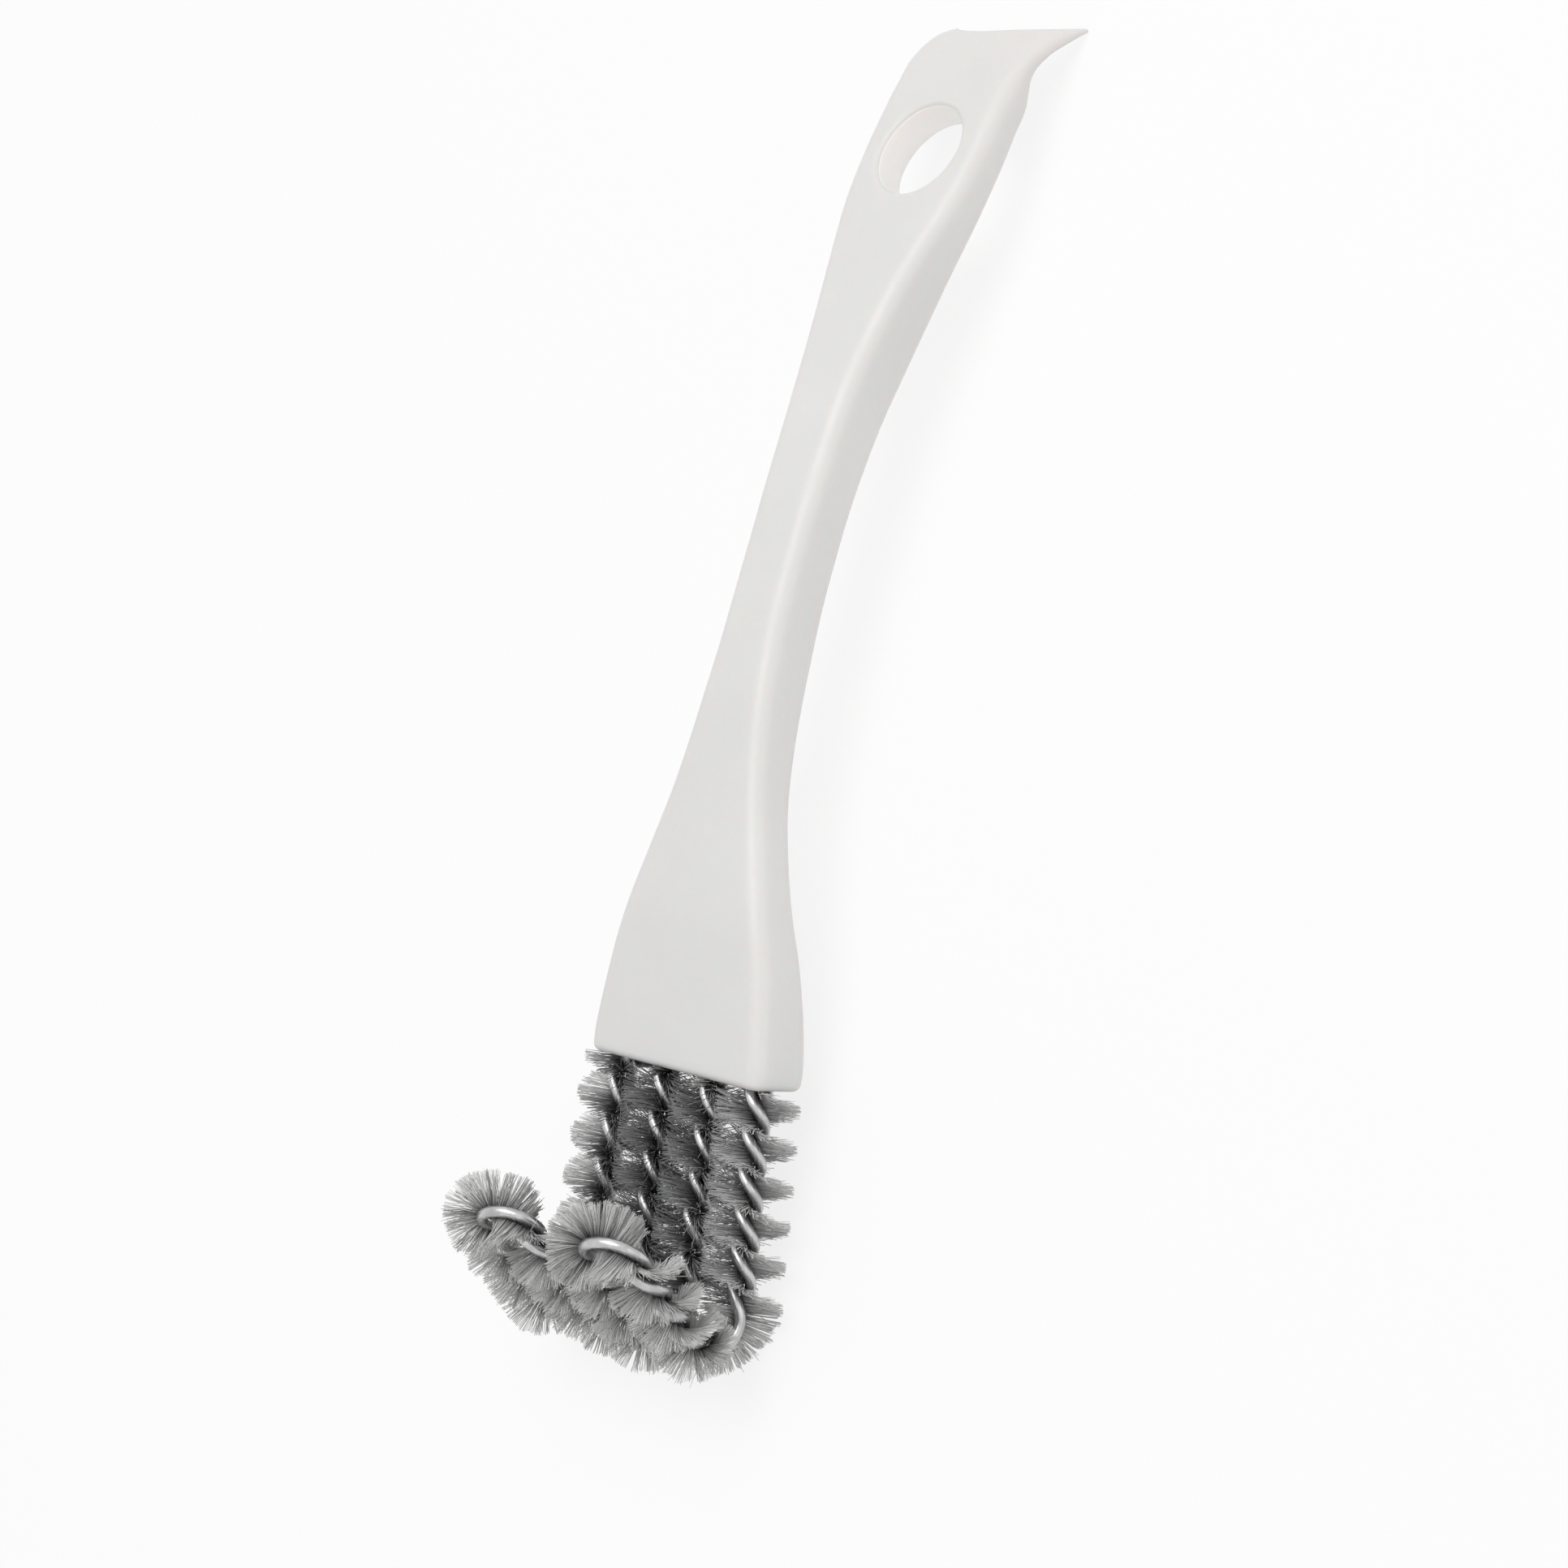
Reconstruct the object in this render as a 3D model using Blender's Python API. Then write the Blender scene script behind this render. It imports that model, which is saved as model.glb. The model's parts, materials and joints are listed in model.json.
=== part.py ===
"""Bird cage cleaning brush.

A moulded plastic handle, bowed backwards, with a hanging hole and, at its top, a
thin hollowed scraper edge whose two corners sweep back.  Four legs of twisted wire
stand in a row in the wide socket end.
They are two loops: each loop is a pair of wires twisted together with bristles
gripped between them, which runs down as one leg, turns round the heel into a
rising toe, makes a U at the tip and comes back as the next leg.

The brush is drawn upright: X is its width, minus Y its front, where the toes
point, and Z runs up the handle from the socket's end face.  A parent empty then
lays it on its back, resting on the scraper edge and on the bristles of the legs.
"""

import math
import random

import bmesh
import bpy
import numpy as np
from mathutils import Matrix, Vector

MM = 0.001

# Fits shared by all pieces
SEAT_GAP = 0.3 * MM
CUT_OVERRUN = 1.0 * MM

# Handle moulding
HANDLE_LENGTH = 123.3 * MM
HANDLE_BOW = 34.4 * MM
SOCKET_WIDTH = 28.4 * MM
SOCKET_DEPTH = 8.2 * MM
EDGE_ROUND = 2.0 * MM
EDGE_ROUND_LARGEST_SHARE = 0.45
END_ROUND = 0.9 * MM
BLADE_WIDTH = 20.8 * MM
BLADE_RECESS = 2.3 * MM
BLADE_SWEEP = 4.8 * MM
BLADE_FLAT_SHARE = 0.35
BLADE_BEND_POWER = 1.5
HOLE_DIAMETER = 11.7 * MM
HOLE_HEIGHT_SHARE = 0.868

# Stations up the handle: height as a share of its length, setback of the front face
# as a share of the bow, width as a share of the socket's, depth as a share of its depth
STATION_SHARES = (
    (0.000, 0.000, 1.000, 1.000),
    (0.024, 0.000, 1.000, 1.000),
    (0.065, 0.000, 0.954, 0.962),
    (0.106, 0.000, 0.893, 0.890),
    (0.147, 0.000, 0.800, 0.820),
    (0.200, 0.012, 0.662, 0.760),
    (0.252, 0.026, 0.531, 0.765),
    (0.299, 0.040, 0.445, 0.820),
    (0.346, 0.057, 0.383, 0.885),
    (0.394, 0.082, 0.341, 0.920),
    (0.441, 0.110, 0.324, 0.915),
    (0.488, 0.144, 0.321, 0.905),
    (0.535, 0.179, 0.324, 0.905),
    (0.583, 0.219, 0.331, 0.930),
    (0.630, 0.262, 0.347, 0.965),
    (0.677, 0.313, 0.388, 0.980),
    (0.724, 0.369, 0.450, 0.950),
    (0.772, 0.434, 0.538, 0.860),
    (0.819, 0.507, 0.636, 0.735),
    (0.866, 0.580, 0.676, 0.670),
    (0.903, 0.636, 0.676, 0.640),
    (0.932, 0.686, 0.679, 0.590),
)

# Stations of the scraper beyond them: height, setback of its middle, widening from the
# last station's width to the blade's, depth, and its middle's recess and its corners'
# sweep as shares of the blade's
BLADE_SHARES = (
    (0.9545, 0.7280, 0.00, 0.310, 0.00, 0.115),
    (0.9730, 0.7680, 0.30, 0.225, 0.05, 0.337),
    (0.9880, 0.8120, 0.65, 0.190, 0.35, 0.595),
    (1.0000, 0.8605, 1.00, 0.070, 1.00, 1.000),
)

# Twisted wire
WIRE_DIAMETER = 1.25 * MM
RIBBON_THICKNESS = 0.15 * MM
WIRE_POINTS_PER_TURN = 8
WIRE_LONGEST_STEP = 1.5 * MM
SAME_STRETCH_DIAMETERS = 4

# Course of each leg from the socket to the tip
INNER_LEG_PLACE = 3.93 * MM
OUTER_LEG_PLACE = 12.7 * MM
OUTER_LEAN = math.radians(3.5)
ROW_SETBACK = 0.5 * MM
STEM_DEPTH = 9.0 * MM
SHANK_LENGTH = 24.5 * MM
HEEL_RADIUS = 4.4 * MM
TOE_SPLAY = math.radians(2.5)

# Bristles
BRISTLE_RADIUS = 4.6 * MM
RIBBON_REACH = 1.4 * MM
STRAND_STEP = 1.15 * MM
STRAND_TIP_SHARE = 0.10
STRAND_UNEVEN_SHARE = 0.07
TURN_CROWDING_SHARE = 0.70
NEIGHBOUR_SHARE = 0.95
REACH_STEP = 0.1 * MM
REACH_TOLERANCE = 0.05 * MM
FIRST_BRISTLE = 0.8 * MM
TIP_OVERLAP_SHARE = 0.15
UNEVEN_SEED = 7

# Each loop's side, its toe, the turn of its wires at the tip and its pitches: one for
# each leg's shank, one for its heel and toe, and a larger one round the U, where the
# bending opens the twist
LOOPS = {
    "left": dict(side=-1, toe_rise=math.radians(42.2), toe_length=10.6 * MM,
                 tip_angle=math.radians(-42), tip_pitch=16.0 * MM,
                 outer_pitch=9.78 * MM, outer_toe_pitch=8.11 * MM,
                 inner_pitch=9.14 * MM, inner_toe_pitch=8.32 * MM),
    "right": dict(side=1, toe_rise=math.radians(42.0), toe_length=11.1 * MM,
                  tip_angle=math.radians(36), tip_pitch=17.0 * MM,
                  outer_pitch=8.74 * MM, outer_toe_pitch=9.12 * MM,
                  inner_pitch=9.38 * MM, inner_toe_pitch=9.08 * MM),
}

# Finish of each material: colour, metallic, roughness
FINISHES = {
    "white_plastic": ((0.76, 0.76, 0.745), 0.0, 0.42),
    "steel_wire": ((0.62, 0.62, 0.62), 1.0, 0.28),
    "grey_bristle": ((0.20, 0.20, 0.205), 0.0, 0.55),
}

# Fineness of the drawing
SMOOTH_ANGLE = math.radians(32)
END_ANGLES = (0, 45, 90)
PATH_STEP = 0.2 * MM
STATION_STEPS = 2
CORNER_STEPS = 4
FACE_SHARES = (0.1, 0.2, 0.32, 0.5, 0.68, 0.8, 0.9)
HOLE_SIDES = 40
STEM_SIDES = 16

WIRE_RADIUS = WIRE_DIAMETER / 2
WIRE_OFFSET = WIRE_RADIUS + SEAT_GAP + RIBBON_THICKNESS / 2
STEM_HOLE_RADIUS = WIRE_OFFSET + WIRE_RADIUS + SEAT_GAP


def clear_scene():
    for item in list(bpy.data.objects):
        bpy.data.objects.remove(item, do_unlink=True)


def make_material(name):
    colour, metallic, roughness = FINISHES[name]
    material = bpy.data.materials.new(name)
    material.use_nodes = True
    shader = material.node_tree.nodes["Principled BSDF"]
    shader.inputs["Base Color"].default_value = (*colour, 1.0)
    shader.inputs["Metallic"].default_value = metallic
    shader.inputs["Roughness"].default_value = roughness
    return material


def mesh_object(name, bm, material, smooth_angle=None):
    """Turn a bmesh into a named object, with its faces pointing out."""
    bmesh.ops.recalc_face_normals(bm, faces=bm.faces)
    mesh = bpy.data.meshes.new(name)
    bm.to_mesh(mesh)
    bm.free()
    mesh.materials.append(material)
    if smooth_angle is not None:
        mesh.shade_smooth()
        mesh.set_sharp_from_angle(angle=smooth_angle)
    item = bpy.data.objects.new(name, mesh)
    bpy.context.collection.objects.link(item)
    return item


# Handle


def blended(table, steps):
    """Points of a smooth curve through the rows of a table, by Catmull and Rom's rule."""
    rows = np.array(table, dtype=float)
    padded = np.vstack([2 * rows[0] - rows[1], rows, 2 * rows[-1] - rows[-2]])
    points = []
    for k in range(1, len(padded) - 2):
        a, b, c, d = padded[k - 1:k + 3]
        for t in np.arange(steps) / steps:
            points.append(0.5 * (2 * b + (c - a) * t + (2 * a - 5 * b + 4 * c - d) * t * t
                                 + (3 * b - a - 3 * c + d) * t ** 3))
    points.append(rows[-1])
    return np.array(points)


def handle_stations():
    """Front point (y, z), width, depth, recess and sweep of each section, bottom to top."""
    front = ROW_SETBACK - SOCKET_DEPTH / 2
    rows = []
    for height, setback, width, depth in STATION_SHARES:
        rows.append((front + setback * HANDLE_BOW, height * HANDLE_LENGTH,
                     width * SOCKET_WIDTH, depth * SOCKET_DEPTH, 0.0, 0.0))
    plate_width = rows[-1][2]
    for height, setback, spread, depth, recess, sweep in BLADE_SHARES:
        rows.append((front + setback * HANDLE_BOW, height * HANDLE_LENGTH,
                     plate_width + spread * (BLADE_WIDTH - plate_width),
                     depth * SOCKET_DEPTH, recess * BLADE_RECESS, sweep * BLADE_SWEEP))
    return blended(rows, STATION_STEPS)


def front_directions(stations):
    """Unit vectors (y, z) along the front face at each station."""
    runs = np.gradient(stations[:, :2], axis=0)
    return runs / np.linalg.norm(runs, axis=1)[:, None]


def section_outline(width, depth, radius):
    """A rounded rectangle as (across, back) pairs, across from its middle."""
    radius = min(radius, EDGE_ROUND_LARGEST_SHARE * min(depth, width))
    half = width / 2 - radius
    corners = ((half, radius, -90), (half, depth - radius, 0),
               (-half, depth - radius, 90), (-half, radius, 180))
    outline = []
    for k, (across, back, start) in enumerate(corners):
        for step in range(CORNER_STEPS + 1):
            angle = math.radians(start + 90 * step / CORNER_STEPS)
            outline.append((across + radius * math.cos(angle), back + radius * math.sin(angle)))
        if k == 1:
            outline += [(half - share * 2 * half, depth) for share in FACE_SHARES]
        if k == 3:
            outline += [(-half + share * 2 * half, 0.0) for share in FACE_SHARES]
    return outline


def swept_share(outward):
    """How much of the sweep a point has: none on the blade's flat, all at its corners."""
    return max(0.0, (abs(outward) - BLADE_FLAT_SHARE) / (1 - BLADE_FLAT_SHARE)) ** BLADE_BEND_POWER


def add_section(bm, station, direction, inset=0.0, drop=0.0):
    """One ring of the handle, square to the front face, drawn in by an inset."""
    front_y, front_z, width, depth, recess, sweep = (float(value) for value in station)
    along = Vector((0.0, *direction))
    back = Vector((0.0, direction[1], -direction[0]))
    origin = Vector((0.0, front_y, front_z)) + inset * back - drop * along
    ring = []
    for across, behind in section_outline(width - 2 * inset, depth - 2 * inset,
                                          EDGE_ROUND - inset):
        outward = 2 * across / width
        swept = Vector((across, sweep * swept_share(outward), 0.0))
        hollow = recess * (1 - outward ** 2)
        ring.append(bm.verts.new(origin + swept + behind * back - hollow * along))
    return ring


def close_blade(bm, ring):
    """Close the scraper's bent edge with strips from its front to its back."""
    corner = CORNER_STEPS + 1
    left = 3 * corner + len(FACE_SHARES)
    front = ring[left:] + ring[:corner]
    back = ring[left - 1:corner - 1:-1]
    for k in range(len(front) - 1):
        bm.faces.new((front[k], front[k + 1], back[k + 1], back[k]))


def cutter(name, bm):
    """A hidden tool for a Boolean cut."""
    bmesh.ops.recalc_face_normals(bm, faces=bm.faces)
    mesh = bpy.data.meshes.new(name)
    bm.to_mesh(mesh)
    bm.free()
    item = bpy.data.objects.new(name, mesh)
    bpy.context.collection.objects.link(item)
    item.hide_render = True
    item.display_type = 'WIRE'
    return item


def cylinder_cutter(name, start, end, radius, sides):
    """A cylinder between two points."""
    axis = end - start
    turn = axis.to_track_quat('Z', 'Y').to_matrix().to_4x4()
    place = Matrix.Translation((start + end) / 2) @ turn
    bm = bmesh.new()
    bmesh.ops.create_cone(bm, cap_ends=True, segments=sides, radius1=radius,
                          radius2=radius, depth=axis.length, matrix=place)
    return cutter(name, bm)


def hole_cutter(stations, directions):
    """The hanging hole, square to the front face at its height."""
    height = HOLE_HEIGHT_SHARE * HANDLE_LENGTH
    y = float(np.interp(height, stations[:, 1], stations[:, 0]))
    depth = float(np.interp(height, stations[:, 1], stations[:, 3]))
    direction = [float(np.interp(height, stations[:, 1], directions[:, k])) for k in range(2)]
    back = Vector((0.0, direction[1], -direction[0])).normalized()
    front = Vector((0.0, y, height))
    return cylinder_cutter("hanging_hole_cutter", front - EDGE_ROUND * back,
                           front + (depth + EDGE_ROUND) * back, HOLE_DIAMETER / 2, HOLE_SIDES)


def leaned(outer, z):
    """Distance of a leg from the middle of the brush at a height of its shank."""
    if outer:
        return OUTER_LEG_PLACE - math.tan(OUTER_LEAN) * max(0.0, z + SHANK_LENGTH)
    return INNER_LEG_PLACE


def stem_cutters():
    """The four blind holes that the twisted legs are moulded into."""
    cutters = []
    for loop_name, loop in LOOPS.items():
        for leg_name, outer in (("outer", True), ("inner", False)):
            ends = [Vector((loop["side"] * leaned(outer, z), 0.0, z))
                    for z in (-CUT_OVERRUN, STEM_DEPTH + WIRE_RADIUS + SEAT_GAP)]
            name = f"{loop_name}_{leg_name}_stem_cutter"
            cutters.append(cylinder_cutter(name, ends[0], ends[1], STEM_HOLE_RADIUS, STEM_SIDES))
    return cutters


def make_handle(material):
    """Loft the sections, round the socket's end, and cut the holes."""
    stations = handle_stations()
    directions = front_directions(stations)
    bm = bmesh.new()
    rings = []
    for angle in END_ANGLES:
        bend = math.radians(angle)
        rings.append(add_section(bm, stations[0], directions[0],
                                 inset=END_ROUND * (1 - math.sin(bend)),
                                 drop=-END_ROUND * (1 - math.cos(bend))))
    for station, direction in zip(stations[1:], directions[1:]):
        rings.append(add_section(bm, station, direction))
    for lower, upper in zip(rings[:-1], rings[1:]):
        for k in range(len(lower)):
            n = (k + 1) % len(lower)
            bm.faces.new((lower[k], lower[n], upper[n], upper[k]))
    bm.faces.new(rings[0])
    close_blade(bm, rings[-1])
    handle = mesh_object("handle", bm, material, smooth_angle=SMOOTH_ANGLE)
    for tool in [hole_cutter(stations, directions)] + stem_cutters():
        cut = handle.modifiers.new(tool.name, 'BOOLEAN')
        cut.operation = 'DIFFERENCE'
        cut.object = tool
    return handle


# Course of the twisted legs


def leg_profile(loop):
    """Points (y, z) of one leg from its buried end to the start of the tip's U."""
    rise = loop["toe_rise"]
    turn = math.pi / 2 + rise
    points = [(0.0, z) for z in np.arange(STEM_DEPTH, -SHANK_LENGTH, -PATH_STEP)]
    for angle in np.arange(0, turn, PATH_STEP / HEEL_RADIUS):
        points.append((-HEEL_RADIUS * (1 - math.cos(angle)),
                       -SHANK_LENGTH - HEEL_RADIUS * math.sin(angle)))
    heel_end = np.array((-HEEL_RADIUS * (1 - math.cos(turn)),
                         -SHANK_LENGTH - HEEL_RADIUS * math.sin(turn)))
    toe = np.array((-math.cos(rise), math.sin(rise)))
    for run in np.arange(0, loop["toe_length"], PATH_STEP):
        points.append(tuple(heel_end + run * toe))
    return points, heel_end + loop["toe_length"] * toe, toe


def centre_line(loop):
    """Points of a loop's axis from the outer leg's buried end to the inner leg's."""
    profile, toe_end, toe = leg_profile(loop)
    middle = (OUTER_LEG_PLACE + INNER_LEG_PLACE) / 2
    bend = (OUTER_LEG_PLACE - INNER_LEG_PLACE) / 2
    points = [(leaned(True, z) if y == 0 else OUTER_LEG_PLACE, y, z) for y, z in profile]
    for angle in np.arange(0, math.pi, PATH_STEP / bend):
        y, z = toe_end + bend * math.sin(angle) * toe
        points.append((middle + bend * math.cos(angle), y, z))
    points += [(INNER_LEG_PLACE, y, z) for y, z in reversed(profile)]
    splay = math.tan(TOE_SPLAY)
    return np.array([(loop["side"] * (x + splay * max(0.0, -y - HEEL_RADIUS)), y, z)
                     for x, y, z in points])


class Strand:
    """A loop's axis with its length, its frame and the turn of its wires."""

    def __init__(self, loop):
        self.points = centre_line(loop)
        steps = np.linalg.norm(np.diff(self.points, axis=0), axis=1)
        self.lengths = np.concatenate([[0.0], np.cumsum(steps)])
        tangents = np.gradient(self.points, self.lengths, axis=0)
        self.tangents = tangents / np.linalg.norm(tangents, axis=1)[:, None]
        self.normals = self.carried_normals()
        self.bends = np.gradient(self.tangents, self.lengths, axis=0)
        self.find_marks(loop)
        self.angles = self.turns(loop)

    def carried_normals(self):
        """A normal carried along the axis without turning about it."""
        normal = np.array((0.0, 1.0, 0.0))
        carried = []
        for tangent in self.tangents:
            normal = normal - tangent * np.dot(normal, tangent)
            normal = normal / np.linalg.norm(normal)
            carried.append(normal)
        return np.array(carried)

    def find_marks(self, loop):
        """Lengths along the axis at which its stretches begin."""
        leg = STEM_DEPTH + SHANK_LENGTH
        heel = HEEL_RADIUS * (math.pi / 2 + loop["toe_rise"])
        self.total = self.lengths[-1]
        self.middle = self.total / 2
        self.toe_length = loop["toe_length"] / math.cos(TOE_SPLAY)
        self.socket = STEM_DEPTH
        self.heel_start = leg
        self.toe_start = leg + heel
        self.tip_start = leg + heel + self.toe_length

    def turns(self, loop):
        """Angle of the first wire about the axis: a left-hand twist, slower round the U."""
        tip_half = self.middle - self.tip_start
        rate = np.full(len(self.lengths), 1 / loop["tip_pitch"])
        rate[self.lengths < self.tip_start] = 1 / loop["outer_toe_pitch"]
        rate[self.lengths < self.heel_start] = 1 / loop["outer_pitch"]
        rate[self.lengths > self.total - self.tip_start] = 1 / loop["inner_toe_pitch"]
        rate[self.lengths > self.total - self.heel_start] = 1 / loop["inner_pitch"]
        window = int(tip_half / PATH_STEP) | 1
        edge = window // 2
        padded = np.pad(rate, edge, mode="edge")
        rate = np.convolve(padded, np.ones(window) / window, mode="valid")
        turned = np.concatenate([[0.0], np.cumsum((rate[1:] + rate[:-1]) / 2
                                                  * np.diff(self.lengths))])
        turned -= np.interp(self.middle, self.lengths, turned)
        return loop["tip_angle"] - 2 * math.pi * turned

    def at(self, length):
        """Point, direction of the first wire and direction of the bristles at a length."""
        point = np.array([np.interp(length, self.lengths, self.points[:, k]) for k in range(3)])
        tangent = np.array([np.interp(length, self.lengths, self.tangents[:, k])
                            for k in range(3)])
        normal = np.array([np.interp(length, self.lengths, self.normals[:, k])
                           for k in range(3)])
        tangent /= np.linalg.norm(tangent)
        normal -= tangent * np.dot(normal, tangent)
        normal /= np.linalg.norm(normal)
        side = np.cross(tangent, normal)
        angle = np.interp(length, self.lengths, self.angles)
        wire = math.cos(angle) * normal + math.sin(angle) * side
        return point, wire, np.cross(tangent, wire)

    def bend_towards(self, length, direction):
        """How strongly the axis bends towards a direction, one over its radius."""
        return sum(np.interp(length, self.lengths, self.bends[:, k]) * direction[k]
                   for k in range(3))


# Wires


def wire_points(strand, hand):
    """Points along one wire of a pair, with equal turns or, at most, the longest step."""
    per_turn = np.abs(np.diff(strand.angles)) / (2 * math.pi) * WIRE_POINTS_PER_TURN
    per_step = np.diff(strand.lengths) / WIRE_LONGEST_STEP
    count = np.concatenate([[0.0], np.cumsum(np.maximum(per_turn, per_step))])
    marks = np.linspace(0, count[-1], int(round(count[-1])) + 1)
    points = []
    for length in np.interp(marks, count, strand.lengths):
        point, wire, _ = strand.at(length)
        points.append(point + hand * WIRE_OFFSET * wire)
    return points


def gap_to_itself(points, diameter):
    """Least gap between stretches of a tube that lie more than a few diameters apart."""
    points = np.array(points)
    runs = np.linalg.norm(np.diff(points, axis=0), axis=1)
    lengths = np.concatenate([[0.0], np.cumsum(runs)])
    apart = np.linalg.norm(points[:, None] - points[None, :], axis=2)
    far = np.abs(lengths[:, None] - lengths[None, :]) > SAME_STRETCH_DIAMETERS * diameter
    return apart[far].min() - diameter


def make_wire(name, points, material):
    """One unbroken wire as a round tube with closed ends."""
    curve = bpy.data.curves.new(name, 'CURVE')
    curve.dimensions = '3D'
    curve.bevel_depth = WIRE_RADIUS
    curve.bevel_resolution = 1
    curve.use_fill_caps = True
    spline = curve.splines.new('POLY')
    spline.points.add(len(points) - 1)
    for place, point in zip(spline.points, points):
        place.co = (*point, 1.0)
    spline.use_smooth = True
    curve.materials.append(material)
    item = bpy.data.objects.new(name, curve)
    bpy.context.collection.objects.link(item)
    print(f"{name}: least gap to itself {gap_to_itself(points, WIRE_DIAMETER) / MM:.2f} mm")
    return item


# Bristles


def bristle_reach(strand, length, direction, axis_points):
    """Length of a strand: cut short on the inside of a bend and towards a nearer axis."""
    reach = BRISTLE_RADIUS
    bend = strand.bend_towards(length, direction)
    if bend > 0:
        reach = min(reach, TURN_CROWDING_SHARE / bend)
    origin = strand.at(length)[0]
    while reach > RIBBON_REACH:
        tip = origin + direction * reach / NEIGHBOUR_SHARE
        nearest = np.linalg.norm(axis_points - tip, axis=1).min()
        if nearest > reach / NEIGHBOUR_SHARE - REACH_TOLERANCE:
            break
        reach -= REACH_STEP
    return reach


def make_bristles(name, strand, start, end, axis_points, chance, material):
    """A stretch of the gripped ribbon with a row of strands along both its edges."""
    count = max(2, math.ceil((end - start) / STRAND_STEP))
    marks = np.linspace(start, end, count + 1)
    step = marks[1] - marks[0]
    bm = bmesh.new()
    rings = []
    for mark in marks:
        point, wire, bristle = strand.at(mark)
        rings.append({(across, face): bm.verts.new(point + across * RIBBON_REACH * bristle
                                                   + face * RIBBON_THICKNESS / 2 * wire)
                      for across in (-1, 0, 1) for face in (-1, 1)})
    for ring in (rings[0], rings[-1]):
        bm.faces.new([ring[across, -1] for across in (-1, 0, 1)]
                     + [ring[across, 1] for across in (1, 0, -1)])
    for k in range(count):
        low, high = rings[k], rings[k + 1]
        for face in (-1, 1):
            for across in (-1, 0):
                bm.faces.new((low[across, face], low[across + 1, face],
                              high[across + 1, face], high[across, face]))
        for hand in (-1, 1):
            add_strand(bm, strand, marks[k] + step / 2, step, hand, low, high,
                       axis_points, chance)
    return mesh_object(name, bm, material)


def add_strand(bm, strand, middle, step, hand, low, high, axis_points, chance):
    """One four-sided strand, drawn from the ribbon's edge to a narrow tip."""
    direction = hand * strand.at(middle)[2]
    reach = bristle_reach(strand, middle, direction, axis_points)
    reach -= chance.random() * STRAND_UNEVEN_SHARE * (reach - RIBBON_REACH)
    reach = max(reach, RIBBON_REACH + RIBBON_THICKNESS)
    tips = []
    for edge in (-1, 1):
        point, _, bristle = strand.at(middle + edge * STRAND_TIP_SHARE * step)
        tips.append(bm.verts.new(point + hand * reach * bristle))
    for face in (-1, 1):
        bm.faces.new((low[hand, face], tips[0], tips[1], high[hand, face]))
    bm.faces.new((low[hand, -1], low[hand, 1], tips[0]))
    bm.faces.new((high[hand, -1], high[hand, 1], tips[1]))


def bristle_stretches(strand):
    """Name, start and end of each stretch of bristles on a loop, outer leg first."""
    half_gap = SEAT_GAP / 2
    overlap = TIP_OVERLAP_SHARE * strand.toe_length
    marks = (("shank", strand.socket + FIRST_BRISTLE, strand.heel_start),
             ("heel", strand.heel_start, strand.toe_start),
             ("toe", strand.toe_start, strand.tip_start - overlap))
    stretches = []
    for part, start, end in marks:
        stretches.append((f"outer_{part}", start + half_gap, end - half_gap))
        stretches.append((f"inner_{part}", strand.total - end + half_gap,
                          strand.total - start - half_gap))
    tip = strand.tip_start - overlap
    stretches.append(("tip", tip + half_gap, strand.total - tip - half_gap))
    return stretches


# Laying the brush down


def world_points(items):
    """Corners of the finished solids, in the upright frame."""
    graph = bpy.context.evaluated_depsgraph_get()
    points = []
    for item in items:
        solid = item.evaluated_get(graph)
        mesh = solid.to_mesh()
        points += [solid.matrix_world @ vertex.co for vertex in mesh.vertices]
        solid.to_mesh_clear()
    return points


def resting_tilt(points):
    """Angle between the upright axis and a floor that the back of the brush lies on."""
    rear = max(points, key=lambda point: point.y)
    below = [point for point in points if point.z < rear.z - HANDLE_LENGTH / 2]
    return math.atan(min((rear.y - point.y) / (rear.z - point.z) for point in below))


def lay_down(items):
    """Parent everything to an empty that lays the brush on its back at the origin."""
    points = world_points([item for item in items if item.display_type != 'WIRE'])
    tilt = resting_tilt(points)
    turn = Matrix.Rotation(tilt - math.pi / 2, 4, 'X')
    turned = [turn @ point for point in points]
    low = Vector([min(point[k] for point in turned) for k in range(3)])
    high = Vector([max(point[k] for point in turned) for k in range(3)])
    frame = bpy.data.objects.new("resting_frame", None)
    bpy.context.collection.objects.link(frame)
    frame.rotation_euler = (tilt - math.pi / 2, 0.0, 0.0)
    frame.location = (-(low.x + high.x) / 2, -(low.y + high.y) / 2, -low.z)
    for item in items:
        item.parent = frame
    bpy.context.view_layer.update()
    size = (high - low) / MM
    print(f"tilt {math.degrees(tilt):.3f} deg, frame at {frame.location / MM}")
    print(f"size {size.x:.2f} x {size.y:.2f} x {size.z:.2f} mm")


def main():
    clear_scene()
    materials = {name: make_material(name) for name in FINISHES}
    make_handle(materials["white_plastic"])
    chance = random.Random(UNEVEN_SEED)
    strands = {name: Strand(loop) for name, loop in LOOPS.items()}
    axis_points = np.vstack([strand.points for strand in strands.values()])
    for name, strand in strands.items():
        for wire_name, hand in (("first", 1), ("second", -1)):
            make_wire(f"{name}_loop_{wire_name}_wire", wire_points(strand, hand),
                      materials["steel_wire"])
        for part, start, end in bristle_stretches(strand):
            make_bristles(f"{name}_{part}_bristles", strand, start, end, axis_points,
                          chance, materials["grey_bristle"])
    lay_down(list(bpy.context.collection.objects))


main()
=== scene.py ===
"""Looks of the cage cleaning brush.

The brush is drawn upright, as in the photograph: X across, minus Y to the front, Z up
the handle from the socket's end face.  upright_to_world() then lays every piece where
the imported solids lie.  Lengths are in metres.
"""

import json
import math

import bmesh
import bpy
import numpy as np
from mathutils import Matrix, Vector


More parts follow.
